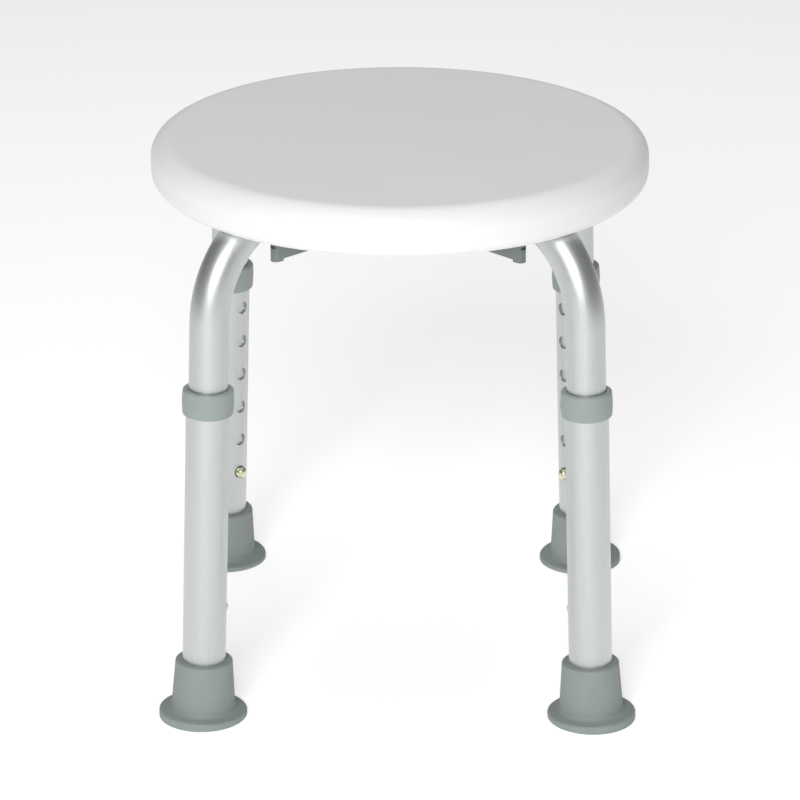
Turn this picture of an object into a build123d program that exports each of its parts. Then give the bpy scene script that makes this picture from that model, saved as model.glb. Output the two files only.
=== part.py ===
from build123d import *
from math import cos, radians, sin, sqrt, tan
import os

os.makedirs("parts", exist_ok=True)

# A round shower stool on four telescopic legs, shown at its lowest setting.
# Origin: on the floor, under the middle of the seat.  +Z is up, the front is -Y.
# Every leg is built in the XZ plane, leaning outwards along +X, and is then turned
# about Z to its own corner.  A "station" is a distance along the leg from the floor.

# ---------------------------------------------------------------- driving sizes (mm, degrees)
seat_diameter = 330
seat_top = 363.5
seat_thickness = 32
seat_top_round = 13
seat_bottom_round = 11
seat_wall = 3

leg_foot_radius = 182.5        # where a leg's axis meets the floor, from the stool's axis
leg_splay = 2.5                # lean of a leg, from the vertical
leg_azimuths = {"rear_right": 45, "rear_left": 135, "front_left": 225, "front_right": 315}

inner_tube_diameter = 25.4
inner_tube_wall = 1.6
inner_tube_station = 44        # lower end of the inner tube
inner_tube_shown = 44.8        # straight stretch between the collar and the bend
bend_radius = 68
run_above_underside = 7.5      # the tube's level run, above the seat's underside

outer_tube_wall = 1.5
outer_tube_station = 9         # lower end of the outer tube
tube_clearance = 0.1           # radial, inner tube in outer tube

hole_pitch = 25.4
first_hole_station = 72.5
last_hole_to_collar = 8        # least distance from the top hole's middle to the collar

button_diameter = 8.2
button_clearance = 0.4         # radial, in the holes
button_stand_out = 4.7         # of the button's head, beyond the outer tube
spring_strip = 0.8
spring_width = 7
spring_reach = 27              # from the end of the front leaf to the spring's fold
spring_fold = 2.5
spring_gap = 0.25              # between the spring's corners and the tube's bore

collar_wall = 2.6
collar_length = 17.5
collar_lip = 2.5               # part of the collar above the outer tube's end
collar_clearance = 0.3         # radial, around the inner tube
collar_barrel = 0.5            # the outside's swell at mid height
collar_round = 1.5

foot_flange_diameter = 58.4
foot_flange_edge = 4.2         # height of the flange at its rim
foot_flange_root = 5.4         # and where it meets the cup
foot_root_round = 3
foot_height = 39.5
foot_top_wall = 4.6
foot_waist_wall = 7
foot_edge_round = 1.5
washer_thickness = 2

hub_wall = 4.3                 # around the tube ends
hub_tube_grip = 21             # length of tube held by the hub
hub_round = 4
hub_clearance = 0.5            # radial, hub in the seat's recess
hub_screw_diameter = 5
hub_screw_from_tube_end = 10
hub_screw_cover = 1.5          # seat left above the screws
hub_screw_recess = 1.5         # depth of the cross in a screw's head

groove_clearance = 1           # around the tube in the seat's underside

bracket_length = 27
bracket_from_bend = 1          # between the bracket and the start of the bend
bracket_wall = 3.8
bracket_width = 62
bracket_flange = 4
bracket_screw_spacing = 47
bracket_screw_diameter = 4
bracket_screw_length = 14
screw_post_wall = 3

lever_thickness = 7
lever_side_gap = 0.3
lever_drop = 29                # the lever's pivot, below the tube's run
lever_cam_radius = 8
lever_cam_gap = 0.4            # between the cam and the tube
lever_cam_room = 3             # around the cam, in the saddle
lever_handle_reach = 27.4      # from the pivot to the handle's end
lever_handle_height = 14
lever_lip = 1.5                # the thumb lip at the handle's end, below the handle
lever_slot = 2
lever_slot_rise = 1.4          # above the pivot
ear_thickness = 3.5
ear_round = 5
pin_diameter = 4
pin_clearance = 0.05

# ---------------------------------------------------------------- worked-out places
seat_radius = seat_diameter / 2
seat_underside = seat_top - seat_thickness
run_height = seat_underside + run_above_underside
inner_tube_radius = inner_tube_diameter / 2
inner_bore_radius = inner_tube_radius - inner_tube_wall
outer_bore_radius = inner_tube_radius + tube_clearance
outer_tube_radius = outer_bore_radius + outer_tube_wall

lean_x = sin(radians(leg_splay))
lean_z = cos(radians(leg_splay))
bend_tangent = bend_radius * tan(radians((90 - leg_splay) / 2))
bend_start_station = run_height / lean_z - bend_tangent
leg_corner = leg_foot_radius - run_height * tan(radians(leg_splay))
bend_end = leg_corner - bend_tangent

collar_top = bend_start_station - inner_tube_shown
collar_bottom = collar_top - collar_length
outer_tube_top = collar_top - collar_lip
hole_row_room = collar_bottom - last_hole_to_collar - first_hole_station
hole_count = 1 + int(hole_row_room / hole_pitch)
hole_radius = button_diameter / 2 + button_clearance

hub_tube_end = inner_tube_radius + hub_wall
hub_radius = hub_tube_end + hub_tube_grip
hub_bottom = run_height - inner_tube_radius - hub_wall
hub_top = run_height + inner_tube_radius + hub_wall
hub_height = hub_top - hub_bottom
hub_screw_radius = hub_tube_end + hub_screw_from_tube_end
hub_screw_bite = seat_top - hub_screw_cover - hub_top

# across a leg, and along it: local Z runs up the leg, local X away from the stool's axis
leg_plane = Plane(origin=(leg_foot_radius, 0, 0), x_dir=(lean_z, 0, lean_x), z_dir=(-lean_x, 0, lean_z))
leg_section = Plane(origin=(leg_foot_radius, 0, 0), x_dir=(lean_z, 0, lean_x), z_dir=(0, -1, 0))
leg_axis = Axis((leg_foot_radius, 0, 0), (-lean_x, 0, lean_z))


def station(distance):
    """The plane across the leg at this distance from the floor."""
    return leg_plane.offset(distance)


def save(piece, name):
    piece.label = name
    export_step(piece, f"parts/{name}.step")


def save_for_each_leg(piece, name):
    for leg, azimuth in leg_azimuths.items():
        save(piece.rotate(Axis.Z, azimuth), f"{name}_{leg}")


# ---------------------------------------------------------------- upper leg tubes
# One bent aluminium tube per leg: up from inside the outer tube, round the bend
# and level under the seat, into the hub.
with BuildLine(Plane.XZ) as tube_path:
    FilletPolyline(
        (leg_foot_radius - inner_tube_station * lean_x, inner_tube_station * lean_z),
        (leg_corner, run_height),
        (hub_tube_end, run_height),
        radius=bend_radius,
    )

button_plane = Plane(
    origin=station(first_hole_station).origin, x_dir=(0, 1, 0), z_dir=(-lean_z, 0, -lean_x)
)

with BuildPart() as upper_leg_tube:
    with BuildSketch(station(inner_tube_station)):
        Circle(inner_tube_radius)
        Circle(inner_bore_radius, mode=Mode.SUBTRACT)
    sweep(path=tube_path.wires()[0])
    with BuildSketch(button_plane):
        Circle(hole_radius)
    extrude(amount=2 * outer_tube_radius, mode=Mode.SUBTRACT)
    with BuildSketch(Plane.XY.offset(hub_bottom)):
        with Locations((hub_screw_radius, 0)):
            Circle(hub_screw_diameter / 2)
    extrude(amount=hub_height, mode=Mode.SUBTRACT)

save_for_each_leg(upper_leg_tube.part, "upper_leg_tube")

# ---------------------------------------------------------------- centre hub
# A moulded cross joint that takes the four tube ends and bolts up into the seat.
with BuildPart() as tube_end:
    with BuildSketch(Plane.YZ.offset(hub_tube_end)):
        with Locations((0, run_height)):
            Circle(inner_tube_radius)
    extrude(amount=hub_radius)

with BuildPart() as centre_hub:
    with BuildSketch(Plane.XY.offset(hub_bottom)):
        Circle(hub_radius)
    extrude(amount=hub_height)
    fillet(centre_hub.edges().filter_by(GeomType.CIRCLE).group_by(Axis.Z)[0], radius=hub_round)
    for azimuth in leg_azimuths.values():
        add(tube_end.part.rotate(Axis.Z, azimuth), mode=Mode.SUBTRACT)
    with BuildSketch(Plane.XY.offset(hub_bottom)):
        with PolarLocations(hub_screw_radius, len(leg_azimuths), start_angle=45):
            Circle(hub_screw_diameter / 2)
    extrude(amount=hub_height, mode=Mode.SUBTRACT)

save(centre_hub.part, "centre_hub")

hub_screw_head = hub_screw_diameter * 0.6

with BuildPart() as hub_screws:
    with BuildSketch(Plane.XY.offset(hub_bottom)):
        with PolarLocations(hub_screw_radius, len(leg_azimuths), start_angle=45):
            Circle(hub_screw_diameter / 2)
    extrude(amount=hub_height + hub_screw_bite)
    with BuildSketch(Plane.XY.offset(hub_bottom)):
        with PolarLocations(hub_screw_radius, len(leg_azimuths), start_angle=45):
            Circle(hub_screw_diameter)
    extrude(amount=-hub_screw_head)
    head_rims = hub_screws.edges().filter_by(GeomType.CIRCLE).group_by(Axis.Z)[0]
    fillet(head_rims, radius=hub_screw_head / 2)
    with BuildSketch(Plane.XY.offset(hub_bottom - hub_screw_head)):
        with PolarLocations(hub_screw_radius, len(leg_azimuths), start_angle=45):
            Rectangle(hub_screw_diameter, hub_screw_diameter / 5)
            Rectangle(hub_screw_diameter / 5, hub_screw_diameter)
    extrude(amount=hub_screw_recess, mode=Mode.SUBTRACT)

save(hub_screws.part, "hub_screws")

# ---------------------------------------------------------------- seat
# A blow-moulded hollow disc.  Its underside has a groove for each tube, a round
# recess for the hub and, in the hollow, a post over each bracket screw.
bracket_middle = bend_end - bracket_from_bend - bracket_length / 2
bracket_screw_places = [
    (bracket_middle, side * bracket_screw_spacing / 2) for side in (-1, 1)
]


def seat_profile(inset):
    """Half the seat's outline, drawn this far inside its outer skin."""
    top = seat_top - inset
    bottom = seat_underside + inset
    rim = seat_radius - inset
    top_round = seat_top_round - inset
    bottom_round = seat_bottom_round - inset
    Polyline((rim - top_round, top), (0, top), (0, bottom), (rim - bottom_round, bottom))
    RadiusArc((rim - bottom_round, bottom), (rim, bottom + bottom_round), -bottom_round)
    Line((rim, bottom + bottom_round), (rim, top - top_round))
    RadiusArc((rim, top - top_round), (rim - top_round, top), -top_round)


def groove(margin):
    """The room of one tube in the seat, this much wider than the tube."""
    radius = inner_tube_radius + margin
    with BuildPart() as room:
        with BuildSketch(station(inner_tube_station)):
            Circle(radius)
        sweep(path=tube_path.wires()[0])
        with BuildSketch(Plane.XY.offset(seat_underside - margin)):
            with Locations(((hub_tube_end + bend_end) / 2, 0)):
                Rectangle(bend_end - hub_tube_end, 2 * radius)
        extrude(amount=run_height - seat_underside + margin)
    return room.part


groove_room = groove(groove_clearance)
groove_skin = groove(groove_clearance + seat_wall)

with BuildPart() as hollow:
    with BuildSketch(Plane.XZ):
        with BuildLine():
            seat_profile(seat_wall)
        make_face()
    revolve(axis=Axis.Z)
    with BuildSketch(Plane.XY.offset(seat_underside)):
        Circle(hub_radius + hub_clearance + seat_wall)
    extrude(amount=seat_thickness, mode=Mode.SUBTRACT)
    for azimuth in leg_azimuths.values():
        add(groove_skin.rotate(Axis.Z, azimuth), mode=Mode.SUBTRACT)
        with BuildSketch(Plane.XY.offset(seat_underside).rotated((0, 0, azimuth))):
            with Locations(*bracket_screw_places):
                Circle(bracket_screw_diameter / 2 + screw_post_wall)
        extrude(amount=seat_thickness, mode=Mode.SUBTRACT)

with BuildPart() as seat_shell:
    with BuildSketch(Plane.XZ):
        with BuildLine():
            seat_profile(0)
        make_face()
    revolve(axis=Axis.Z)
    add(hollow.part, mode=Mode.SUBTRACT)
    with BuildSketch(Plane.XY.offset(seat_underside)):
        Circle(hub_radius + hub_clearance)
    extrude(amount=hub_top - seat_underside, mode=Mode.SUBTRACT)
    for azimuth in leg_azimuths.values():
        add(groove_room.rotate(Axis.Z, azimuth), mode=Mode.SUBTRACT)
        with BuildSketch(Plane.XY.offset(seat_underside).rotated((0, 0, azimuth))):
            with Locations(*bracket_screw_places):
                Circle(bracket_screw_diameter / 2)
        extrude(amount=bracket_screw_length - bracket_flange, mode=Mode.SUBTRACT)
    with BuildSketch(Plane.XY.offset(hub_top)):
        with PolarLocations(hub_screw_radius, len(leg_azimuths), start_angle=45):
            Circle(hub_screw_diameter / 2)
    extrude(amount=hub_screw_bite, mode=Mode.SUBTRACT)

save(seat_shell.part, "seat_shell")

# ---------------------------------------------------------------- leg brackets
# A moulded saddle screwed to the seat's underside, with two ears for the lever.
pivot_height = run_height - lever_drop
ear_inner = lever_thickness / 2 + lever_side_gap
saddle_bottom = run_height - inner_tube_radius - bracket_wall
saddle_half_width = inner_tube_radius + bracket_wall
slot_height = run_height - pivot_height + 2 * lever_cam_radius

with BuildPart() as leg_bracket:
    with BuildSketch(Plane.XY.offset(seat_underside - bracket_flange)):
        with Locations((bracket_middle, 0)):
            RectangleRounded(bracket_length, bracket_width, bracket_length / 4)
    extrude(amount=bracket_flange)
    with BuildSketch(Plane.XY.offset(saddle_bottom)):
        with Locations((bracket_middle, 0)):
            Rectangle(bracket_length, 2 * saddle_half_width)
    extrude(amount=seat_underside - saddle_bottom)
    saddle_corners = leg_bracket.edges().filter_by(Axis.X).group_by(Axis.Z)[0]
    fillet(saddle_corners, radius=bracket_wall)
    with BuildSketch(Plane.XZ.offset(-ear_inner - ear_thickness)):
        with Locations((bracket_middle, pivot_height)):
            Circle(ear_round)
            with Locations((0, (saddle_bottom - pivot_height + bracket_wall) / 2)):
                Rectangle(2 * ear_round, saddle_bottom - pivot_height + bracket_wall)
    extrude(amount=2 * (ear_inner + ear_thickness))
    with BuildSketch(Plane.XZ.offset(-ear_inner)):
        with Locations((bracket_middle, pivot_height)):
            with Locations((0, run_height - pivot_height - slot_height / 2)):
                Rectangle(2 * (lever_cam_radius + lever_cam_room), slot_height)
    extrude(amount=2 * ear_inner, mode=Mode.SUBTRACT)
    with BuildSketch(Plane.YZ.offset(bend_end)):
        with Locations((0, run_height)):
            Circle(inner_tube_radius)
    extrude(amount=-bend_end, mode=Mode.SUBTRACT)
    with BuildSketch(Plane.XY.offset(seat_underside - bracket_flange)):
        with Locations(*bracket_screw_places):
            Circle(bracket_screw_diameter / 2)
    extrude(amount=bracket_flange, mode=Mode.SUBTRACT)
    with BuildSketch(Plane.XZ.offset(-bracket_width)):
        with Locations((bracket_middle, pivot_height)):
            Circle(pin_diameter / 2)
    extrude(amount=2 * bracket_width, mode=Mode.SUBTRACT)

save_for_each_leg(leg_bracket.part, "leg_bracket")

screw_head = bracket_screw_diameter * 0.6
with BuildPart() as bracket_screws:
    for azimuth in leg_azimuths.values():
        flange_face = Plane.XY.offset(seat_underside - bracket_flange).rotated((0, 0, azimuth))
        with BuildSketch(flange_face):
            with Locations(*bracket_screw_places):
                Circle(bracket_screw_diameter / 2)
        extrude(amount=bracket_screw_length)
        with BuildSketch(flange_face):
            with Locations(*bracket_screw_places):
                Circle(bracket_screw_diameter)
        extrude(amount=-screw_head)
    head_rims = bracket_screws.edges().filter_by(GeomType.CIRCLE).group_by(Axis.Z)[0]
    fillet(head_rims, radius=screw_head / 2)

save(bracket_screws.part, "bracket_screws")

# ---------------------------------------------------------------- lock levers
# A cam lever between the ears: its round cam presses on the tube when the handle
# is up, and lets go when the handle is swung down.
cam_middle = run_height - inner_tube_radius - lever_cam_gap - lever_cam_radius

with BuildPart() as lock_lever:
    with BuildSketch(Plane.XZ.offset(-lever_thickness / 2)):
        with Locations((bracket_middle, cam_middle)):
            Circle(lever_cam_radius)
        with Locations((bracket_middle, pivot_height)):
            Circle(lever_handle_height / 2)
            with Locations((lever_handle_reach / 2, 0)):
                Rectangle(lever_handle_reach, lever_handle_height)
            with Locations((lever_handle_reach - lever_thickness / 2, -lever_lip / 2)):
                Rectangle(lever_thickness, lever_handle_height + lever_lip)
    extrude(amount=lever_thickness)
    handle_end = lock_lever.faces().filter_by(Plane.YZ).sort_by(Axis.X)[-1]
    fillet(handle_end.edges().filter_by(Axis.Z), radius=lever_thickness * 0.48)
    with BuildSketch(Plane.YZ.offset(bracket_middle + lever_handle_reach)):
        with Locations((0, pivot_height + lever_slot_rise)):
            SlotOverall(lever_thickness * 0.7, lever_slot)
    extrude(amount=-lever_slot, mode=Mode.SUBTRACT)
    with BuildSketch(Plane.XZ.offset(-lever_thickness)):
        with Locations((bracket_middle, pivot_height)):
            Circle(pin_diameter / 2 + pin_clearance)
    extrude(amount=2 * lever_thickness, mode=Mode.SUBTRACT)

save_for_each_leg(lock_lever.part, "lock_lever")

with BuildPart() as lever_pin:
    with BuildSketch(Plane.XZ.offset(-ear_inner - ear_thickness)):
        with Locations((bracket_middle, pivot_height)):
            Circle(pin_diameter / 2)
    extrude(amount=2 * (ear_inner + ear_thickness))

with BuildPart() as lever_pins:
    for azimuth in leg_azimuths.values():
        add(lever_pin.part.rotate(Axis.Z, azimuth))

save(lever_pins.part, "lever_pins")

# ---------------------------------------------------------------- lower leg tubes
# The outer tube slides over the inner one; a row of holes faces the stool's middle.
with BuildPart() as lower_leg_tube:
    with BuildSketch(station(outer_tube_station)):
        Circle(outer_tube_radius)
        Circle(outer_bore_radius, mode=Mode.SUBTRACT)
    extrude(amount=outer_tube_top - outer_tube_station)
    for hole in range(hole_count):
        hole_station = first_hole_station + hole * hole_pitch
        hole_plane = Plane(
            origin=station(hole_station).origin, x_dir=(0, 1, 0), z_dir=button_plane.z_dir
        )
        with BuildSketch(hole_plane):
            Circle(hole_radius)
        extrude(amount=2 * outer_tube_radius, mode=Mode.SUBTRACT)

save_for_each_leg(lower_leg_tube.part, "lower_leg_tube")

# ---------------------------------------------------------------- collars
# A moulded cap ring on the outer tube's mouth, slightly barrelled outside.
collar_radius = outer_tube_radius + collar_wall

with BuildPart() as leg_collar:
    with BuildSketch(leg_section) as collar_outline:
        with BuildLine():
            ThreePointArc(
                (collar_radius - collar_barrel, collar_bottom),
                (collar_radius, collar_bottom + collar_length / 2),
                (collar_radius - collar_barrel, collar_top),
            )
            Polyline(
                (collar_radius - collar_barrel, collar_top),
                (inner_tube_radius + collar_clearance, collar_top),
                (inner_tube_radius + collar_clearance, outer_tube_top),
                (outer_tube_radius, outer_tube_top),
                (outer_tube_radius, collar_bottom),
                (collar_radius - collar_barrel, collar_bottom),
            )
        make_face()
        fillet(collar_outline.vertices().sort_by(Axis.X)[-2:], radius=collar_round)
    revolve(axis=leg_axis)

save_for_each_leg(leg_collar.part, "leg_collar")

# ---------------------------------------------------------------- feet
# A rubber cup with a wide flange, cut level with the floor, over a steel washer.
foot_flange_radius = foot_flange_diameter / 2
foot_waist_radius = outer_tube_radius + foot_waist_wall
foot_top_radius = outer_tube_radius + foot_top_wall
washer_station = outer_tube_station - washer_thickness

with BuildPart() as leg_foot:
    with BuildSketch(leg_section) as foot_outline:
        with BuildLine():
            Polyline(
                (foot_flange_radius, foot_flange_edge),
                (foot_flange_radius, -foot_flange_edge),
                (0, -foot_flange_edge),
                (0, washer_station),
                (outer_tube_radius, washer_station),
                (outer_tube_radius, foot_height),
                (foot_top_radius, foot_height),
                (foot_waist_radius, foot_flange_root),
                (foot_flange_radius, foot_flange_edge),
            )
        make_face()
        fillet(foot_outline.vertices().group_by(Axis.X)[-2][0], radius=foot_root_round)
        fillet(foot_outline.vertices().group_by(Axis.X)[-1].sort_by(Axis.Y)[-1], radius=foot_edge_round)
        fillet(foot_outline.vertices().group_by(Axis.Y)[-1].sort_by(Axis.X)[-1], radius=foot_edge_round)
    revolve(axis=leg_axis)
    split(bisect_by=Plane.XY, keep=Keep.TOP)

save_for_each_leg(leg_foot.part, "leg_foot")

with BuildPart() as foot_washer:
    with BuildSketch(station(washer_station)):
        Circle(outer_tube_radius)
        Circle(outer_tube_radius / 2, mode=Mode.SUBTRACT)
    extrude(amount=washer_thickness)

save_for_each_leg(foot_washer.part, "foot_washer")

# ---------------------------------------------------------------- snap buttons
# A strip of spring steel folded to a V inside the inner tube; the button on its
# front leaf stands out through the holes of both tubes.
leaf_face = sqrt((inner_bore_radius - spring_gap) ** 2 - (spring_width / 2) ** 2)
leaf_middle = leaf_face - spring_strip / 2
button_tip = outer_tube_radius + button_stand_out
leaf_end = first_hole_station - button_diameter
leaf_bend = first_hole_station + button_diameter

with BuildPart() as snap_button:
    with BuildSketch(leg_section.offset(-spring_width / 2)):
        with BuildLine() as strip_line:
            FilletPolyline(
                (-leaf_middle, leaf_end),
                (-leaf_middle, leaf_bend),
                (0, leaf_bend + spring_reach),
                (leaf_middle, leaf_bend),
                (leaf_middle, leaf_end),
                radius=spring_fold,
            )
            offset(amount=spring_strip / 2, side=Side.BOTH)
        make_face()
    extrude(amount=spring_width)
    with BuildSketch(button_plane.offset(leaf_middle)):
        Circle(button_diameter / 2)
    extrude(amount=button_tip - leaf_middle)
    button_rim = snap_button.faces().sort_by(Axis(button_plane.origin, button_plane.z_dir))[-1]
    fillet(button_rim.edges(), radius=button_diameter * 0.4)

save_for_each_leg(snap_button.part, "snap_button")
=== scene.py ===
import math

import bpy
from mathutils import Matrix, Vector


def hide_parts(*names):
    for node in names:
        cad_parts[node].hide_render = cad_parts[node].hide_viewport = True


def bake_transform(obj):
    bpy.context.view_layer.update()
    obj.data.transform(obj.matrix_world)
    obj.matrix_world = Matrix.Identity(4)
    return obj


MM = 0.001
LEGS = ("rear_right", "rear_left", "front_left", "front_right")
WHITE = (1.0, 1.0, 1.0, 1.0)

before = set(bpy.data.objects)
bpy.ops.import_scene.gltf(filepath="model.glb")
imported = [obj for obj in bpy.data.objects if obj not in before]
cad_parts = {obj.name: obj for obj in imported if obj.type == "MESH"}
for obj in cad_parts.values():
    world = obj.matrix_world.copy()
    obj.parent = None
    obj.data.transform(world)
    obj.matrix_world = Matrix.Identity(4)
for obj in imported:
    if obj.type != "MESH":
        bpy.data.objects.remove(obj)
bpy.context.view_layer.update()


# ---------------------------------------------------------------- materials
def linear(hex_colour):
    """An sRGB hex colour as the linear colour that the shaders take."""
    channels = [int(hex_colour[i : i + 2], 16) / 255 for i in (1, 3, 5)]
    return tuple(
        c / 12.92 if c <= 0.04045 else ((c + 0.055) / 1.055) ** 2.4 for c in channels
    ) + (1.0,)


def add_node(tree, kind, settings=None, **inputs):
    """Adds a node.  An input is a value, or the output socket that feeds it."""
    node = tree.nodes.new(kind)
    for name, value in (settings or {}).items():
        setattr(node, name, value)
    for name, value in inputs.items():
        socket = node.inputs[name.replace("_", " ")]
        if isinstance(value, bpy.types.NodeSocket):
            tree.links.new(value, socket)
        else:
            socket.default_value = value
    return node


def new_material(name):
    """An empty material with its shader, its tree and the object's own coordinates."""
    material = bpy.data.materials.new(name)
    material.use_nodes = True
    tree = material.node_tree
    shader = tree.nodes["Principled BSDF"]
    place = add_node(tree, "ShaderNodeTexCoord").outputs["Object"]
    return material, tree, shader, place


def blown_polyethylene():
    # High-density polyethylene, blow-moulded against a blasted tool: a white with a
    # waxy sheen, a fine satin grain and faint waves where the wall cooled.
    material, tree, shader, place = new_material("blown_polyethylene")
    grain = add_node(tree, "ShaderNodeTexNoise", Vector=place, Scale=1 / (0.9 * MM), Detail=2.0)
    waves = add_node(tree, "ShaderNodeTexNoise", Vector=place, Scale=1 / (55 * MM), Detail=1.0)
    tone = add_node(tree, "ShaderNodeMix", {"data_type": "RGBA"}, Factor=waves.outputs["Fac"])
    tone.inputs["A"].default_value = linear("#ececeb")
    tone.inputs["B"].default_value = linear("#f0f0ef")
    tree.links.new(tone.outputs["Result"], shader.inputs["Base Color"])
    wavy = add_node(
        tree, "ShaderNodeBump", Strength=0.15, Distance=0.6 * MM, Height=waves.outputs["Fac"]
    )
    grainy = add_node(
        tree,
        "ShaderNodeBump",
        Strength=0.25,
        Distance=0.05 * MM,
        Height=grain.outputs["Fac"],
        Normal=wavy.outputs["Normal"],
    )
    tree.links.new(grainy.outputs["Normal"], shader.inputs["Normal"])
    gloss = add_node(tree, "ShaderNodeMapRange", Value=grain.outputs["Fac"])
    gloss.inputs["To Min"].default_value = 0.46
    gloss.inputs["To Max"].default_value = 0.54
    tree.links.new(gloss.outputs["Result"], shader.inputs["Roughness"])
    shader.inputs["IOR"].default_value = 1.54
    shader.inputs["Subsurface Weight"].default_value = 0.1
    shader.inputs["Subsurface Radius"].default_value = (3 * MM, 3 * MM, 3 * MM)
    shader.inputs["Subsurface Scale"].default_value = 1.0
    return material


DRAW_STRETCH = 0.02            # the draw lines run fifty times as long as they are wide


def anodised_aluminium():
    # Drawn aluminium tube, etched and clear-anodised: a soft silver with fine lines
    # along the draw and a very slightly cool oxide film.
    material, tree, shader, place = new_material("anodised_aluminium")
    drawn = add_node(tree, "ShaderNodeMapping", Vector=place, Scale=(1.0, 1.0, DRAW_STRETCH))
    lines = add_node(
        tree,
        "ShaderNodeTexNoise",
        Vector=drawn.outputs["Vector"],
        Scale=1 / (0.7 * MM),
        Detail=2.0,
    )
    etch = add_node(tree, "ShaderNodeTexNoise", Vector=place, Scale=1 / (0.5 * MM), Detail=1.0)
    tone = add_node(tree, "ShaderNodeMix", {"data_type": "RGBA"}, Factor=lines.outputs["Fac"])
    tone.inputs["A"].default_value = linear("#c6cac9")
    tone.inputs["B"].default_value = linear("#d3d6d5")
    tree.links.new(tone.outputs["Result"], shader.inputs["Base Color"])
    gloss = add_node(tree, "ShaderNodeMapRange", Value=lines.outputs["Fac"])
    gloss.inputs["To Min"].default_value = 0.4
    gloss.inputs["To Max"].default_value = 0.48
    tree.links.new(gloss.outputs["Result"], shader.inputs["Roughness"])
    relief = add_node(
        tree, "ShaderNodeBump", Strength=0.2, Distance=0.02 * MM, Height=etch.outputs["Fac"]
    )
    tree.links.new(relief.outputs["Normal"], shader.inputs["Normal"])
    shader.inputs["Metallic"].default_value = 1.0
    return material


ROUGHNESS_SPREAD = 0.06        # either side of a moulding's mean roughness
MOTTLE = 9 * MM                # width of the cloudy patches in a moulding's colour


def moulded_grey(name, light, dark, rough, grain_mm, depth_mm):
    """A grey moulding with a fine spark-eroded grain and a faint mottle."""
    material, tree, shader, place = new_material(name)
    grain_scale = 1 / (grain_mm * MM)
    grain = add_node(tree, "ShaderNodeTexNoise", Vector=place, Scale=grain_scale, Detail=3.0)
    mottle = add_node(tree, "ShaderNodeTexNoise", Vector=place, Scale=1 / MOTTLE, Detail=2.0)
    tone = add_node(tree, "ShaderNodeMix", {"data_type": "RGBA"}, Factor=mottle.outputs["Fac"])
    tone.inputs["A"].default_value = linear(dark)
    tone.inputs["B"].default_value = linear(light)
    tree.links.new(tone.outputs["Result"], shader.inputs["Base Color"])
    gloss = add_node(tree, "ShaderNodeMapRange", Value=grain.outputs["Fac"])
    gloss.inputs["To Min"].default_value = rough - ROUGHNESS_SPREAD
    gloss.inputs["To Max"].default_value = rough + ROUGHNESS_SPREAD
    tree.links.new(gloss.outputs["Result"], shader.inputs["Roughness"])
    relief = add_node(
        tree, "ShaderNodeBump", Strength=0.4, Distance=depth_mm * MM, Height=grain.outputs["Fac"]
    )
    tree.links.new(relief.outputs["Normal"], shader.inputs["Normal"])
    return material


def plated_steel(name, light, dark):
    """Zinc-plated steel: a bright metal with the crystal mottle of the plating."""
    material, tree, shader, place = new_material(name)
    crystals = add_node(tree, "ShaderNodeTexVoronoi", Vector=place, Scale=1 / (0.8 * MM))
    tone = add_node(
        tree, "ShaderNodeMix", {"data_type": "RGBA"}, Factor=crystals.outputs["Distance"]
    )
    tone.inputs["A"].default_value = linear(dark)
    tone.inputs["B"].default_value = linear(light)
    tree.links.new(tone.outputs["Result"], shader.inputs["Base Color"])
    gloss = add_node(tree, "ShaderNodeMapRange", Value=crystals.outputs["Distance"])
    gloss.inputs["To Min"].default_value = 0.22
    gloss.inputs["To Max"].default_value = 0.34
    tree.links.new(gloss.outputs["Result"], shader.inputs["Roughness"])
    shader.inputs["Metallic"].default_value = 1.0
    return material


# Grey polypropylene, injection-moulded: satin, a little lighter where light rakes it.
COLLAR = moulded_grey("moulded_polypropylene", "#99a3a1", "#909a98", 0.45, 0.5, 0.03)
# Grey glass-filled nylon, injection-moulded: darker, with a drier surface.
NYLON = moulded_grey("moulded_nylon", "#7f8987", "#78827f", 0.5, 0.5, 0.04)
# Grey thermoplastic rubber, moulded: matte, with a faint bloom.
RUBBER = moulded_grey("moulded_rubber", "#929b9a", "#8a9392", 0.62, 0.6, 0.05)
SEAT = blown_polyethylene()
ALUMINIUM = anodised_aluminium()
ZINC = plated_steel("zinc_plated_steel", "#d7d9da", "#b9bcbe")
YELLOW_ZINC = plated_steel("yellow_zinc_plated_spring_steel", "#eae7cd", "#d8d5ac")

FINISH = {
    "seat_shell": SEAT,
    "centre_hub": NYLON,
    "hub_screws": ZINC,
    "bracket_screws": ZINC,
    "lever_pins": ZINC,
    "upper_leg_tube": ALUMINIUM,
    "lower_leg_tube": ALUMINIUM,
    "leg_bracket": NYLON,
    "lock_lever": NYLON,
    "leg_collar": COLLAR,
    "leg_foot": RUBBER,
    "foot_washer": ZINC,
    "snap_button": YELLOW_ZINC,
}


def finish_cad_nodes():
    for name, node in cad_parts.items():
        kind = name
        for leg in LEGS:
            kind = kind.removesuffix("_" + leg)
        node.data.materials.clear()
        node.data.materials.append(FINISH[kind])


finish_cad_nodes()


# ---------------------------------------------------------------- spring clips
MERGE = 0.001 * MM
CREASE = math.radians(30)      # edges sharper than this stay sharp


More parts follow.
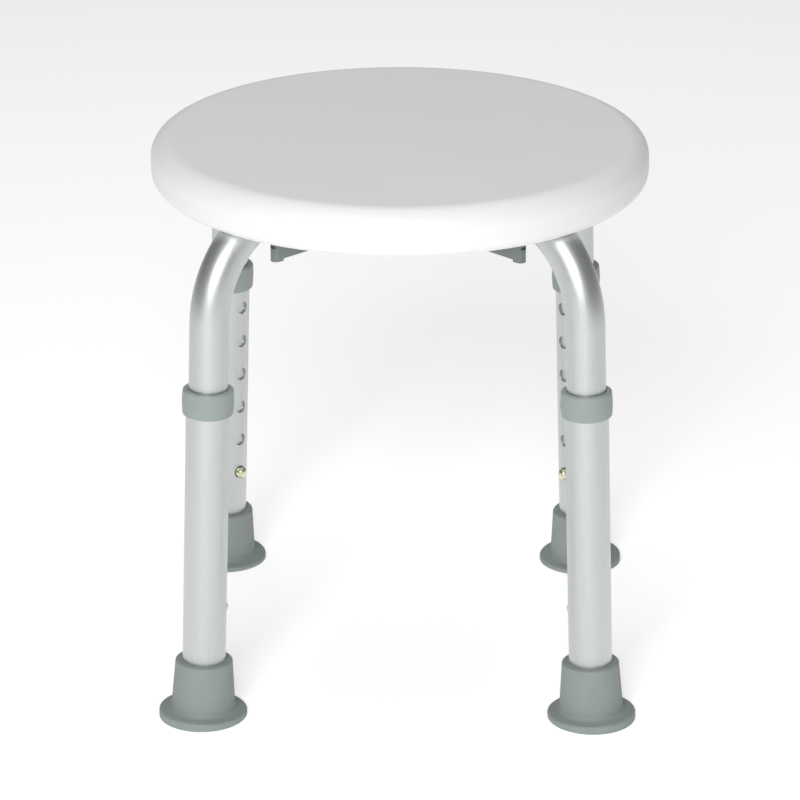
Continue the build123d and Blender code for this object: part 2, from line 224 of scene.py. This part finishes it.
def flexing_clip(leg):
    """The leg's spring clip: a copy of its snap button's mesh, with doubles merged and
    shading smoothed by angle, shown in place of the hidden button node."""
    node = "snap_button_" + leg
    clip = bpy.data.objects.new("spring_clip_" + leg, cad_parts[node].data.copy())
    bpy.context.scene.collection.objects.link(clip)
    bpy.ops.object.select_all(action="DESELECT")
    clip.select_set(True)
    bpy.context.view_layer.objects.active = clip
    bpy.ops.object.mode_set(mode="EDIT")
    bpy.ops.mesh.select_all(action="SELECT")
    bpy.ops.mesh.remove_doubles(threshold=MERGE)
    bpy.ops.object.mode_set(mode="OBJECT")
    bpy.ops.mesh.customdata_custom_splitnormals_clear()
    bpy.ops.object.shade_smooth_by_angle(angle=CREASE)
    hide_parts(node)
    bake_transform(clip)


for leg in LEGS:
    flexing_clip(leg)


# ---------------------------------------------------------------- floor, light and camera
PAPER_GLOW = 0.42
FLOOR_SIDE = 24
AIR_GLOW = 0.2                 # of the white room all round
LIGHT_AIM = (0, 0, 0.2)


def studio_floor():
    # Seamless white paper on a light table, which glows through it a little.
    material, tree, shader, place = new_material("studio_paper")
    fibre = add_node(tree, "ShaderNodeTexNoise", Vector=place, Scale=1 / (3 * MM))
    shade = add_node(tree, "ShaderNodeMapRange", Value=fibre.outputs["Fac"])
    shade.inputs["To Min"].default_value = 0.9
    shade.inputs["To Max"].default_value = 0.95
    tree.links.new(shade.outputs["Result"], shader.inputs["Roughness"])
    shader.inputs["Base Color"].default_value = linear("#f7f7f7")
    shader.inputs["Specular IOR Level"].default_value = 0.0
    shader.inputs["Emission Color"].default_value = WHITE
    shader.inputs["Emission Strength"].default_value = PAPER_GLOW
    bpy.ops.object.select_all(action="DESELECT")
    bpy.ops.mesh.primitive_plane_add(size=FLOOR_SIDE, location=(0, 0, 0))
    floor = bpy.context.object
    floor.name = "studio_floor"
    floor.data.materials.append(material)


def soft_box(name, place, size, power):
    light = bpy.data.lights.new(name, "AREA")
    light.shape = "RECTANGLE"
    light.size, light.size_y = size
    light.energy = power
    holder = bpy.data.objects.new(name, light)
    bpy.context.scene.collection.objects.link(holder)
    holder.location = place
    holder.rotation_mode = "QUATERNION"
    holder.rotation_quaternion = (Vector(LIGHT_AIM) - Vector(place)).to_track_quat("-Z", "Y")


def studio_light():
    world = bpy.data.worlds.new("studio_world")
    world.use_nodes = True
    backdrop = world.node_tree.nodes["Background"]
    backdrop.inputs["Color"].default_value = WHITE
    backdrop.inputs["Strength"].default_value = AIR_GLOW
    bpy.context.scene.world = world
    soft_box("overhead", place=(0.0, 0.4, 2.6), size=(2.0, 2.0), power=18)
    soft_box("key_in_front", place=(-0.4, -2.6, 1.7), size=(1.2, 1.2), power=56)


CAMERA_DISTANCE = 2.397        # from the seat's axis, level
CAMERA_HEIGHT = 1.115
CAMERA_TILT = 21.44            # degrees below the horizon
CAMERA_TURN = 0.85             # degrees round the stool
CAMERA_FIELD = math.radians(12.06276)


def studio_camera():
    data = bpy.data.cameras.new("studio_camera")
    data.lens_unit = "FOV"
    data.angle = CAMERA_FIELD
    camera = bpy.data.objects.new("studio_camera", data)
    bpy.context.scene.collection.objects.link(camera)
    turn = math.radians(CAMERA_TURN)
    camera.location = (
        CAMERA_DISTANCE * math.sin(turn),
        -CAMERA_DISTANCE * math.cos(turn),
        CAMERA_HEIGHT,
    )
    camera.rotation_euler = (math.radians(90 - CAMERA_TILT), 0, turn)
    bpy.context.scene.camera = camera


studio_floor()
studio_light()
studio_camera()
bpy.context.scene.view_settings.view_transform = "Standard"
